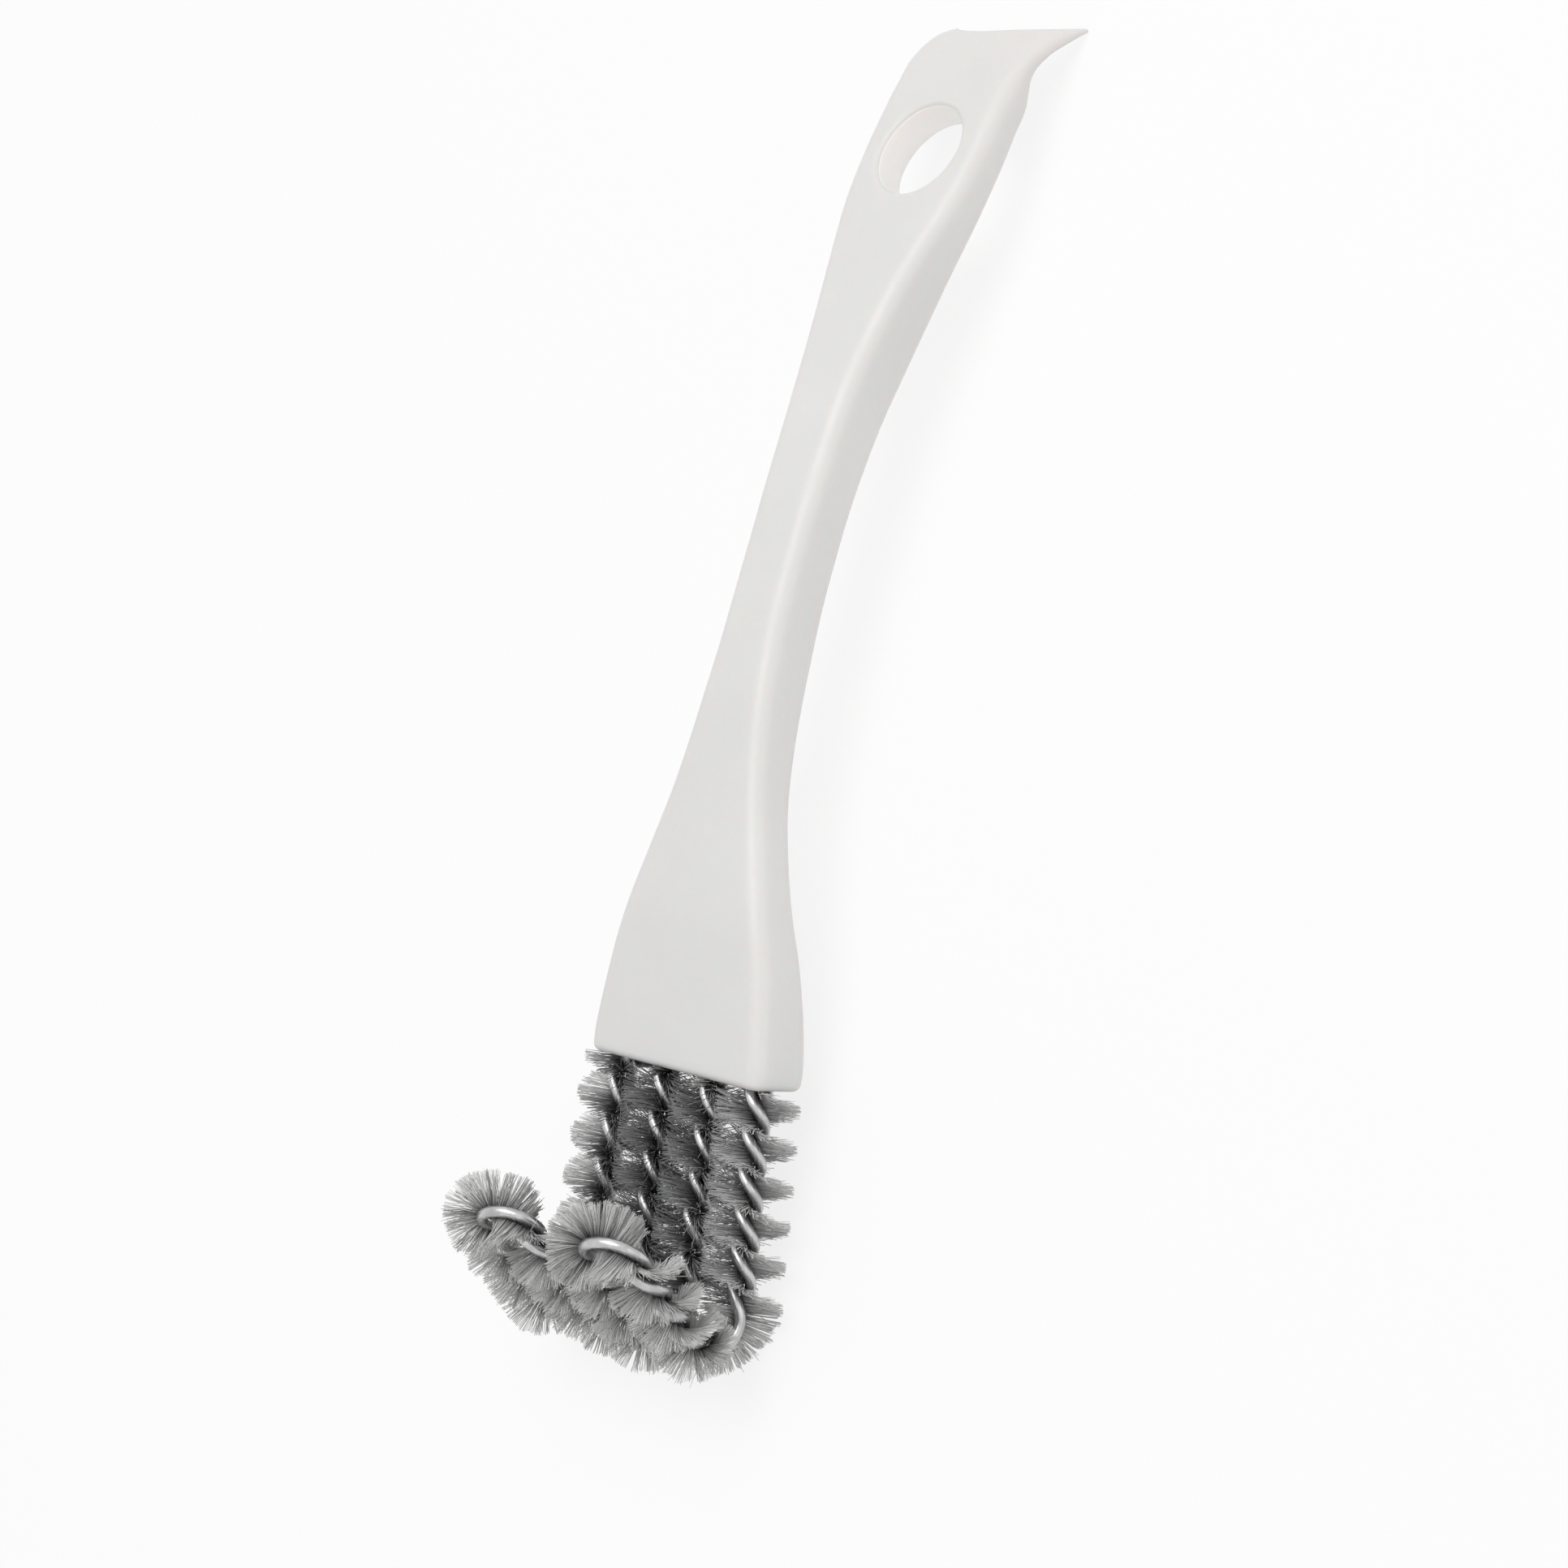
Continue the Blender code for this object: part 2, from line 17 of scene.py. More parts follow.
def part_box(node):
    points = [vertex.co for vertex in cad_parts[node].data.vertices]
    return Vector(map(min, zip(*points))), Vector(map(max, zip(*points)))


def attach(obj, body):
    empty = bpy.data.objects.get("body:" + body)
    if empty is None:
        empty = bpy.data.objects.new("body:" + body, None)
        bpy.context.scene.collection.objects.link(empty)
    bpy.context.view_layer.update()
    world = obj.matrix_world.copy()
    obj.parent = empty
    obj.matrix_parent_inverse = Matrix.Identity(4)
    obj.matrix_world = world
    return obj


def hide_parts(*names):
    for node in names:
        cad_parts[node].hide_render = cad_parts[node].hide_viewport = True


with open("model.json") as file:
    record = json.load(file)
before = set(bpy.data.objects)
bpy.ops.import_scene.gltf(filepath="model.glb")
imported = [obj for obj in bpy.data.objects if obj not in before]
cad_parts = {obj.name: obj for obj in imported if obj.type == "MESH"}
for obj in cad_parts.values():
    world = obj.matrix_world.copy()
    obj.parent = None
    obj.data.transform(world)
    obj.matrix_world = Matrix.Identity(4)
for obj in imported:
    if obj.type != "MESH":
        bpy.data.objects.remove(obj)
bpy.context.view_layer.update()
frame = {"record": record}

MM = 0.001

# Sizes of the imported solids, which the pieces here are drawn to again
HANDLE_LENGTH = 123.3 * MM
HANDLE_BOW = 34.4 * MM
SOCKET_WIDTH = 28.4 * MM
SOCKET_DEPTH = 8.2 * MM
EDGE_ROUND = 2.0 * MM
EDGE_ROUND_LARGEST_SHARE = 0.45
END_ROUND = 0.9 * MM
TIP_ROUND = 0.2 * MM
BLADE_WIDTH = 20.8 * MM
BLADE_RECESS = 2.3 * MM
BLADE_SWEEP = 4.8 * MM
BLADE_FLAT_SHARE = 0.35
BLADE_BEND_POWER = 1.5
HOLE_DIAMETER = 11.7 * MM
HOLE_RIM = 0.7 * MM
HOLE_BACK_RIM = 1.7 * MM
HOLE_HEIGHT_SHARE = 0.868
HOLE_STEEPEST_RIM = math.radians(72)
ROW_SETBACK = 0.5 * MM
MOUNT_HEIGHT = 7.0 * MM

# Sections of the handle from the socket up: height, setback, width and depth, as shares
# of HANDLE_LENGTH, HANDLE_BOW, SOCKET_WIDTH and SOCKET_DEPTH
STATION_SHARES = (
    (0.000, 0.000, 1.000, 1.000),
    (0.024, 0.000, 1.000, 1.000),
    (0.065, 0.000, 0.954, 0.962),
    (0.106, 0.000, 0.893, 0.890),
    (0.147, 0.000, 0.800, 0.820),
    (0.200, 0.012, 0.662, 0.760),
    (0.252, 0.026, 0.531, 0.765),
    (0.299, 0.040, 0.445, 0.820),
    (0.346, 0.057, 0.383, 0.885),
    (0.394, 0.082, 0.341, 0.920),
    (0.441, 0.110, 0.324, 0.915),
    (0.488, 0.144, 0.321, 0.905),
    (0.535, 0.179, 0.324, 0.905),
    (0.583, 0.219, 0.331, 0.930),
    (0.630, 0.262, 0.347, 0.965),
    (0.677, 0.313, 0.388, 0.980),
    (0.724, 0.369, 0.450, 0.950),
    (0.772, 0.434, 0.538, 0.860),
    (0.819, 0.507, 0.636, 0.735),
    (0.866, 0.580, 0.676, 0.670),
    (0.903, 0.636, 0.676, 0.640),
    (0.932, 0.686, 0.679, 0.590),
)
# Sections of the scraper: height, setback, how far it has widened to BLADE_WIDTH, depth,
# and shares of BLADE_RECESS and BLADE_SWEEP
BLADE_SHARES = (
    (0.9545, 0.7280, 0.00, 0.310, 0.00, 0.115),
    (0.9730, 0.7680, 0.30, 0.225, 0.05, 0.337),
    (0.9880, 0.8120, 0.65, 0.190, 0.35, 0.595),
    (1.0000, 0.8605, 1.00, 0.070, 1.00, 1.000),
)

INNER_LEG_PLACE = 3.93 * MM
OUTER_LEG_PLACE = 12.7 * MM
OUTER_LEAN = math.radians(3.5)
STEM_DEPTH = 9.0 * MM
SHANK_LENGTH = 24.5 * MM
HEEL_RADIUS = 4.4 * MM
TOE_SPLAY = math.radians(2.5)
TIP_OVERLAP_SHARE = 0.15
LOOPS = {
    "left": dict(side=-1, toe_rise=math.radians(42.2), toe_length=10.6 * MM,
                 tip_angle=math.radians(-42), tip_pitch=16.0 * MM,
                 outer_pitch=9.78 * MM, outer_toe_pitch=8.11 * MM,
                 inner_pitch=9.14 * MM, inner_toe_pitch=8.32 * MM),
    "right": dict(side=1, toe_rise=math.radians(42.0), toe_length=11.1 * MM,
                  tip_angle=math.radians(36), tip_pitch=17.0 * MM,
                  outer_pitch=8.74 * MM, outer_toe_pitch=9.12 * MM,
                  inner_pitch=9.38 * MM, inner_toe_pitch=9.08 * MM),
}

# How finely the shapes are drawn
HANDLE_STEPS = 5
CORNER_STEPS = 8
FACE_POINTS = 23
END_ROUND_STEPS = 6
TIP_ROUND_STEPS = 4
END_ROUND_ROOM = 1.3
SHARP_EDGE = math.radians(40)
RIM_STEPS = 7
HOLE_SIDES = 96
PATH_STEP = 0.2 * MM
WIRE_STEP = 0.3 * MM
WIRE_SIDES = 16
FILAMENT_SIDES = 3
FILAMENT_SHARES = (0.0, 0.5, 1.0)

# The bending at each heel opens the twist by half a turn, over a length that begins a
# little before the bend
HEEL_LOST_TURN = 0.5
HEEL_OPENS_BEFORE = 3.0 * MM
HEEL_OPENS_ALONG = 12.0 * MM

# Wires and filaments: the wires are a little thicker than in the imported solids, and the
# filaments are finer and longer than the strands there
WIRE_RADIUS = 0.66 * MM
WIRE_OFFSET = 1.0 * MM
FILAMENT_REACH = 4.95 * MM
FILAMENT_ROOT = 0.05 * MM
FILAMENT_LAYER = 0.28 * MM
FILAMENT_RADII = (0.052 * MM, 0.050 * MM, 0.038 * MM)
FIRST_FILAMENT = 0.3 * MM
CLUMP_STEP = 0.21 * MM
BEND_SHARE = 0.82
SLIGHTEST_BEND = 1.0
LOWEST_POINT = 0.05 * MM
SOCKET_GAP = 0.08 * MM
LEAN_POWER = 1.5
CROWDED_LEAN_POWER = 0.9
UNEVEN_POWER = 1.5
UNEVEN_ALONE = 0.5
SEED = 11

# How each stretch's filaments lie: how many make a clump, swing of a clump and of a
# filament, lean along the axis, spread of lengths, how close a clump's tips draw together,
# share of strays, painted shade and light as tone levels from left to right at
# PAINTED_LIGHT_PLACES (darker between the shank's legs where they shade each other, paler at
# the outsides and on the heels, toes and tips), and how much the tone of clumps and of
# filaments varies
HABITS = {
    "shank": dict(count=9, clump_swing=math.radians(1.5), swing=math.radians(2.5),
                  clump_lean=0.10 * MM, lean=0.30 * MM, uneven=0.04, draw=0.95, strays=0.01,
                  painted_light_tones=(1.00, 0.38, 0.27, 0.62, 0.88), clump_noise=0.03, noise=0.05),
    "heel": dict(count=10, clump_swing=math.radians(3.5), swing=math.radians(3.0),
                 clump_lean=0.12 * MM, lean=0.12 * MM, uneven=0.10, draw=0.86, strays=0.04,
                 painted_light_tones=(0.95, 0.92, 0.92, 0.98, 0.85), clump_noise=0.10, noise=0.10),
    "toe": dict(count=10, clump_swing=math.radians(4.5), swing=math.radians(3.5),
                clump_lean=0.16 * MM, lean=0.15 * MM, uneven=0.13, draw=0.82, strays=0.05,
                painted_light_tones=(0.95, 0.92, 0.90, 0.93, 0.93), clump_noise=0.12, noise=0.10),
    "tip": dict(count=11, clump_swing=math.radians(4.5), swing=math.radians(3.5),
                clump_lean=0.16 * MM, lean=0.15 * MM, uneven=0.13, draw=0.82, strays=0.04,
                painted_light_tones=(1.00, 0.85, 0.80, 0.84, 0.82), clump_noise=0.12, noise=0.10),
}
PAINTED_LIGHT_PLACES = (-17 * MM, -8.3 * MM, 0.0, 8.3 * MM, 17 * MM)
# Painted shade at each filament's root among the wires, and painted light at its tip
PAINTED_ROOT_SHADE_TIP_LIGHT = (-0.24, -0.02, 0.10)
STRAY_SWING = math.radians(14)
STRAY_LEAN = 0.5 * MM
CROWDED_SWING = math.radians(13)
CROWDED_LEAN = 1.65 * MM
CROWDED_FROM = 0.25
CROWDED_FULLY = 0.75

# Camera of the photograph, in the upright frame
PHOTO_PIXELS = 1932
FOCAL_PIXELS = 5270
CAMERA_AZIMUTH = math.radians(46)
CAMERA_ELEVATION = math.radians(3)
CAMERA_ROLL = math.radians(7.5)
PIXELS_PER_MM = 10.9
AIM_POINT = (0.0, 1.1 * MM, 0.0)
AIM_PIXEL = (861, 1319)

# Painted light: the thin plastic round the hole lets light through, so its wall is painted paler
# and given a faint glow, though it is no lamp
HOLE_WALL_PAINTED_LIGHT_COLOUR = (0.94, 0.93, 0.91, 1.0)
HOLE_WALL_PAINTED_GLOW = 0.075
FRONT_RIM_MARKED = 0.14 * HOLE_RIM
BACK_RIM_MARKED = 0.3 * HOLE_BACK_RIM

# Most of a noise texture's values lie between these two
NOISE_LOW = 0.3
NOISE_HIGH = 0.7

# Studio: each lamp has its direction in the camera's frame, distance, size and watts
WORLD_LIGHT = 0.555
FLOOR_WHITE_SHARE = 0.82
FLOOR_GREY = 0.92
FLOOR_ROUGHNESS = 0.8
FLOOR_HALF = 3.0
LAMP_TARGET = (0.0, 0.0, 0.01)
LAMPS = {
    "key_lamp": ((-0.55, 0.60, 0.95), 1.0, 0.65, 4.8),
    "fill_lamp": ((0.8, 0.1, 0.8), 1.2, 0.9, 1.15),
}
SENSOR_WIDTH = 36.0
CLIP_START = 10 * MM


# Placing and meshes


def frame_matrix(right, forward, up, place):
    """A matrix whose columns are three directions and a place."""
    return Matrix(((*right, 0.0), (*forward, 0.0), (*up, 0.0), (*place, 1.0))).transposed()


def upright_to_world():
    """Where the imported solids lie: read from the mount on the socket's front face."""
    mount = frame["record"]["mounts"][0]
    front = Vector(mount["axis"]).normalized()
    back = -front
    up = Vector((0.0, front.z, -front.y))
    low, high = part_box("handle")
    face = Vector(((low.x + high.x) / 2, *mount["pos_m"][1:]))
    origin = face - (ROW_SETBACK - SOCKET_DEPTH / 2) * back - MOUNT_HEIGHT * up
    return frame_matrix((1.0, 0.0, 0.0), back, up, origin)


PLACE = upright_to_world()
PLACE_ARRAY = np.array(PLACE)


def normalised(vectors):
    return vectors / np.linalg.norm(vectors, axis=-1, keepdims=True)


def placed(points):
    """Upright points where they lie in the world."""
    points = np.asarray(points, dtype=float)
    return points @ PLACE_ARRAY[:3, :3].T + PLACE_ARRAY[:3, 3]


def raised(points):
    """Upright points, with those that would lie below the floor pushed up onto it."""
    world = placed(points)
    lift = np.maximum(0.0, LOWEST_POINT - world[:, 2])
    return points + lift[:, None] * PLACE_ARRAY[2, :3]


def new_object(name, data):
    item = bpy.data.objects.new(name, data)
    bpy.context.scene.collection.objects.link(item)
    return item


def tube_faces(rings, sides):
    """Faces between the rings of points of a tube."""
    faces = []
    for ring in range(rings - 1):
        for k in range(sides):
            n = (k + 1) % sides
            faces.append((ring * sides + k, ring * sides + n,
                          (ring + 1) * sides + n, (ring + 1) * sides + k))
    return faces


def face_outwards(mesh):
    bm = bmesh.new()
    bm.from_mesh(mesh)
    bmesh.ops.recalc_face_normals(bm, faces=bm.faces)
    bm.to_mesh(mesh)
    bm.free()


def add_mesh(name, points, faces, material, replaced):
    """A finished piece from upright points, riding on the brush."""
    mesh = bpy.data.meshes.new(name)
    mesh.from_pydata(placed(points).tolist(), [], faces)
    mesh.update()
    mesh.materials.append(material)
    piece = new_object(name, mesh)
    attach(piece, "root")
    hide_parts(*replaced)
    return piece


# Materials


def new_material(name):
    material = bpy.data.materials.new(name)
    material.use_nodes = True
    nodes = material.node_tree.nodes
    return material, nodes, material.node_tree.links, nodes["Principled BSDF"]


def noise_node(nodes, links, vector, scale, detail=2.0, roughness=0.5):
    noise = nodes.new("ShaderNodeTexNoise")
    noise.inputs["Scale"].default_value = scale
    noise.inputs["Detail"].default_value = detail
    noise.inputs["Roughness"].default_value = roughness
    links.new(vector, noise.inputs["Vector"])
    return noise.outputs["Fac"]


def ramp_node(nodes, links, value, stops):
    ramp = nodes.new("ShaderNodeValToRGB")
    ramp.color_ramp.elements[0].position = stops[0][0]
    ramp.color_ramp.elements[0].color = (*stops[0][1], 1.0)
    ramp.color_ramp.elements[1].position = stops[-1][0]
    ramp.color_ramp.elements[1].color = (*stops[-1][1], 1.0)
    for place, colour in stops[1:-1]:
        stop = ramp.color_ramp.elements.new(place)
        stop.color = (*colour, 1.0)
    links.new(value, ramp.inputs["Fac"])
    return ramp.outputs["Color"]


def range_node(nodes, links, value, low, high):
    mapped = nodes.new("ShaderNodeMapRange")
    mapped.inputs["From Min"].default_value = NOISE_LOW
    mapped.inputs["From Max"].default_value = NOISE_HIGH
    mapped.inputs["To Min"].default_value = low
    mapped.inputs["To Max"].default_value = high
    links.new(value, mapped.inputs["Value"])
    return mapped.outputs["Result"]


def bump_node(nodes, links, height, strength, distance, normal=None):
    bump = nodes.new("ShaderNodeBump")
    bump.inputs["Strength"].default_value = strength
    bump.inputs["Distance"].default_value = distance
    links.new(height, bump.inputs["Height"])
    if normal is not None:
        links.new(normal, bump.inputs["Normal"])
    return bump.outputs["Normal"]


def plastic_material():
    """Satin white moulding: a very fine texture, faint clouding and uneven gloss, with painted
    light on the hole's wall: a paler colour and a faint glow.
    """
    material, nodes, links, shader = new_material("satin_white_plastic")
    place = nodes.new("ShaderNodeTexCoord").outputs["Object"]
    clouds = noise_node(nodes, links, place, scale=55.0, detail=3.0)
    colour = ramp_node(nodes, links, clouds, ((0.30, (0.755, 0.752, 0.738)),
                                              (0.70, (0.785, 0.783, 0.772))))
    # Painted light: the hole wall's mask mixes in a paler colour
    wall = nodes.new("ShaderNodeAttribute")
    wall.attribute_name = "hole_wall_painted_light"
    paler = nodes.new("ShaderNodeMixRGB")
    paler.inputs["Color2"].default_value = HOLE_WALL_PAINTED_LIGHT_COLOUR
    links.new(wall.outputs["Fac"], paler.inputs["Fac"])
    links.new(colour, paler.inputs["Color1"])
    links.new(paler.outputs["Color"], shader.inputs["Base Color"])
    # Painted light: the hole's wall glows a little, though it is no lamp
    glow = nodes.new("ShaderNodeMath")
    glow.operation = 'MULTIPLY'
    glow.inputs[1].default_value = HOLE_WALL_PAINTED_GLOW
    links.new(wall.outputs["Fac"], glow.inputs[0])
    links.new(glow.outputs["Value"], shader.inputs["Emission Strength"])
    gloss = noise_node(nodes, links, place, scale=420.0, detail=4.0, roughness=0.6)
    links.new(range_node(nodes, links, gloss, low=0.36, high=0.50), shader.inputs["Roughness"])
    grain = noise_node(nodes, links, place, scale=5200.0)
    swell = noise_node(nodes, links, place, scale=190.0, detail=1.0)
    normal = bump_node(nodes, links, grain, strength=0.10, distance=0.02 * MM)
    normal = bump_node(nodes, links, swell, strength=0.10, distance=0.15 * MM, normal=normal)
    links.new(normal, shader.inputs["Normal"])
    shader.inputs["IOR"].default_value = 1.49
    shader.inputs["Subsurface Weight"].default_value = 0.35
    shader.inputs["Subsurface Scale"].default_value = 3.0 * MM
    return material


def steel_material():
    """Bright drawn wire: streaks run along it, a little duller in places."""
    material, nodes, links, shader = new_material("bright_drawn_wire")
    uv = nodes.new("ShaderNodeUVMap")
    uv.uv_map = "along_wire"
    stretch = nodes.new("ShaderNodeMapping")
    stretch.inputs["Scale"].default_value = (0.35, 14.0, 1.0)
    links.new(uv.outputs["UV"], stretch.inputs["Vector"])
    streaks = noise_node(nodes, links, stretch.outputs["Vector"], scale=1.0, detail=3.0,
                         roughness=0.6)
    place = nodes.new("ShaderNodeTexCoord").outputs["Object"]
    dull = noise_node(nodes, links, place, scale=700.0, detail=3.0)
    colour = ramp_node(nodes, links, dull, ((0.32, (0.42, 0.42, 0.425)),
                                            (0.62, (0.60, 0.60, 0.60))))
    links.new(colour, shader.inputs["Base Color"])
    links.new(range_node(nodes, links, dull, low=0.34, high=0.22), shader.inputs["Roughness"])
    links.new(bump_node(nodes, links, streaks, strength=0.25, distance=0.02 * MM),
              shader.inputs["Normal"])
    shader.inputs["Metallic"].default_value = 1.0
    return material


def filament_material():
    """Grey filaments: each has its own tone, with painted shade and light added, so they are
    darker between the legs and pale a little to their tips.
    """
    material, nodes, links, shader = new_material("grey_filament")
    tone = nodes.new("ShaderNodeAttribute")
    tone.attribute_name = "tone"
    colour = ramp_node(nodes, links, tone.outputs["Fac"], ((0.0, (0.09, 0.09, 0.093)),
                                                           (0.5, (0.27, 0.27, 0.273)),
                                                           (1.0, (0.80, 0.80, 0.79))))
    links.new(colour, shader.inputs["Base Color"])
    shader.inputs["Roughness"].default_value = 0.60
    shader.inputs["Specular IOR Level"].default_value = 0.30
    shader.inputs["IOR"].default_value = 1.53
    return material


# Handle


def blended(table, steps):
    """Points of a smooth curve through the rows of a table, by Catmull and Rom's rule."""
    rows = np.array(table, dtype=float)
    padded = np.vstack([2 * rows[0] - rows[1], rows, 2 * rows[-1] - rows[-2]])
    points = []
    for k in range(1, len(padded) - 2):
        a, b, c, d = padded[k - 1:k + 3]
        for t in np.arange(steps) / steps:
            points.append(0.5 * (2 * b + (c - a) * t + (2 * a - 5 * b + 4 * c - d) * t * t
                                 + (3 * b - a - 3 * c + d) * t ** 3))
    points.append(rows[-1])
    return np.array(points)


def handle_stations():
    """Front point (y, z), width, depth, recess and sweep of each section, bottom to top."""
    front = ROW_SETBACK - SOCKET_DEPTH / 2
    rows = [(front + setback * HANDLE_BOW, height * HANDLE_LENGTH,
             width * SOCKET_WIDTH, depth * SOCKET_DEPTH, 0.0, 0.0)
            for height, setback, width, depth in STATION_SHARES]
    plate_width = rows[-1][2]
    for height, setback, spread, depth, recess, sweep in BLADE_SHARES:
        rows.append((front + setback * HANDLE_BOW, height * HANDLE_LENGTH,
                     plate_width + spread * (BLADE_WIDTH - plate_width),
                     depth * SOCKET_DEPTH, recess * BLADE_RECESS, sweep * BLADE_SWEEP))
    return blended(rows, HANDLE_STEPS)


def section_outline(width, depth, radius):
    """A rounded rectangle as (across, back) pairs, front side last."""
    radius = min(radius, EDGE_ROUND_LARGEST_SHARE * min(depth, width))
    half = width / 2 - radius
    corners = ((half, radius, -90), (half, depth - radius, 0),
               (-half, depth - radius, 90), (-half, radius, 180))
    shares = [(k + 1) / (FACE_POINTS + 1) for k in range(FACE_POINTS)]
    outline = []
    for k, (across, back, start) in enumerate(corners):
        for step in range(CORNER_STEPS + 1):
            angle = math.radians(start + 90 * step / CORNER_STEPS)
            outline.append((across + radius * math.cos(angle), back + radius * math.sin(angle)))
        if k == 1:
            outline += [(half - share * 2 * half, depth) for share in shares]
        if k == 3:
            outline += [(-half + share * 2 * half, 0.0) for share in shares]
    return outline


def section_points(station, direction, inset=0.0, rise=0.0):
    """One ring of the handle, square to the front face, drawn in by an inset."""
    front_y, front_z, width, depth, recess, sweep = station
    along = np.array((0.0, *direction))
    back = np.array((0.0, direction[1], -direction[0]))
    origin = np.array((0.0, front_y, front_z)) + inset * back + rise * along
    ring = []
    for across, behind in section_outline(width - 2 * inset, depth - 2 * inset,
                                          EDGE_ROUND - inset):
        outward = abs(2 * across / width)
        swept = max(0.0, (outward - BLADE_FLAT_SHARE) / (1 - BLADE_FLAT_SHARE))
        shift = np.array((across, sweep * swept ** BLADE_BEND_POWER, 0.0))
        hollow = recess * (1 - outward ** 2)
        ring.append(origin + shift + behind * back - hollow * along)
    return ring


def cap_faces(first, flip):
    """Strips from the front half of a ring to its back half."""
    side = CORNER_STEPS + 1
    front = list(range(side * 3 + FACE_POINTS, side * 4 + 2 * FACE_POINTS))
    front += list(range(side))
    back = list(range(side * 3 + FACE_POINTS - 1, side - 1, -1))
    faces = []
    for k in range(len(front) - 1):
        corners = [front[k], front[k + 1], back[k + 1], back[k]]
        corners = [first + corner for corner in corners]
        faces.append(tuple(reversed(corners)) if flip else tuple(corners))
    return faces


def rim_profile(radius, rim):
    """Radius and depth of points round one rim of a hole, from outside its face."""
    profile = []
    for step in range(RIM_STEPS + 1):
        angle = HOLE_STEEPEST_RIM * (1 - step / RIM_STEPS)
        profile.append((radius + rim * (1 - math.cos(angle)), rim * (1 - math.sin(angle))))
    outer, depth = profile[0]
    return [(outer + math.tan(HOLE_STEEPEST_RIM) * rim, depth - rim)] + profile


def rimmed_cutter(name, front, back, radius, rim, back_rim):
    """A turned tool for a through hole whose rims are rounded on both faces."""
    axis = back - front
    profile = rim_profile(radius, rim)
    profile += [(r, axis.length - d) for r, d in reversed(rim_profile(radius, back_rim))]
    turn = axis.to_track_quat('Z', 'Y').to_matrix().to_4x4()
    place = PLACE @ Matrix.Translation(front) @ turn
    angles = [2 * math.pi * k / HOLE_SIDES for k in range(HOLE_SIDES)]
    points = [place @ Vector((r * math.cos(angle), r * math.sin(angle), d))
              for r, d in profile for angle in angles]
    faces = tube_faces(len(profile), HOLE_SIDES)
    faces += [range(HOLE_SIDES), range(len(points) - HOLE_SIDES, len(points))]
    mesh = bpy.data.meshes.new(name)
    mesh.from_pydata(points, [], faces)
    face_outwards(mesh)
    return new_object(name, mesh)


def cut(piece, tool):
    """Cut a tool out of a piece and apply it."""
    modifier = piece.modifiers.new(tool.name, 'BOOLEAN')
    modifier.operation = 'DIFFERENCE'
    modifier.object = tool
    graph = bpy.context.evaluated_depsgraph_get()
    mesh = bpy.data.meshes.new_from_object(piece.evaluated_get(graph))
    piece.modifiers.clear()
    piece.data = mesh
    bpy.data.objects.remove(tool, do_unlink=True)


def mark_hole_wall(piece, centre, axis):
    """Mark the hole's wall for the painted light that the material reads, one on it and zero
    elsewhere.
    """
    marks = []
    for vertex in piece.data.vertices:
        away = vertex.co - centre
        along = away.dot(axis)
        margin = BACK_RIM_MARKED if along > 2 * HOLE_RIM else FRONT_RIM_MARKED
        radial = (away - axis * along).length
        marks.append(1.0 if radial < HOLE_DIAMETER / 2 + margin else 0.0)
    piece.data.attributes.new("hole_wall_painted_light", 'FLOAT', 'POINT').data.foreach_set("value", marks)


def make_handle(material):
    """A loft through all the sections, with rounded ends and the hanging hole."""
    stations = handle_stations()
    directions = normalised(np.gradient(stations[:, :2], axis=0))
    rings = []
    for step in range(END_ROUND_STEPS + 1):
        bend = math.radians(90 * step / END_ROUND_STEPS)
        rings.append(section_points(stations[0], directions[0],
                                    inset=END_ROUND * (1 - math.sin(bend)),
                                    rise=END_ROUND * (1 - math.cos(bend))))
    for station, direction in zip(stations[1:-1], directions[1:-1]):
        if station[1] > stations[0][1] + END_ROUND * END_ROUND_ROOM:
            rings.append(section_points(station, direction))
    for step in range(TIP_ROUND_STEPS + 1):
        bend = math.radians(90 * step / TIP_ROUND_STEPS)
        rings.append(section_points(stations[-1], directions[-1],
                                    inset=TIP_ROUND * (1 - math.cos(bend)),
                                    rise=-TIP_ROUND * (1 - math.sin(bend))))
    count = len(rings[0])
    faces = tube_faces(len(rings), count)
    faces += cap_faces(0, True)
    faces += cap_faces((len(rings) - 1) * count, False)
    handle = add_mesh("white_handle", np.vstack(rings), faces, material, ["handle"])
    face_outwards(handle.data)

    height = HOLE_HEIGHT_SHARE * HANDLE_LENGTH
    y, depth = (float(np.interp(height, stations[:, 1], stations[:, k])) for k in (0, 3))
    direction = [float(np.interp(height, stations[:, 1], directions[:, k])) for k in range(2)]
    back = Vector((0.0, direction[1], -direction[0])).normalized()
    front = Vector((0.0, y, height))
    cut(handle, rimmed_cutter("hole_tool", front, front + depth * back, HOLE_DIAMETER / 2,
                              HOLE_RIM, HOLE_BACK_RIM))
    # Painted light: mark the wall for its paler colour and glow
    mark_hole_wall(handle, PLACE @ front, PLACE.to_3x3() @ back)
    handle.data.shade_smooth()
    handle.data.set_sharp_from_angle(angle=SHARP_EDGE)


# Course of the twisted legs


def leaned(z):
    """Distance of an outer leg from the middle of the brush at a height of its shank."""
    return OUTER_LEG_PLACE - math.tan(OUTER_LEAN) * max(0.0, z + SHANK_LENGTH)


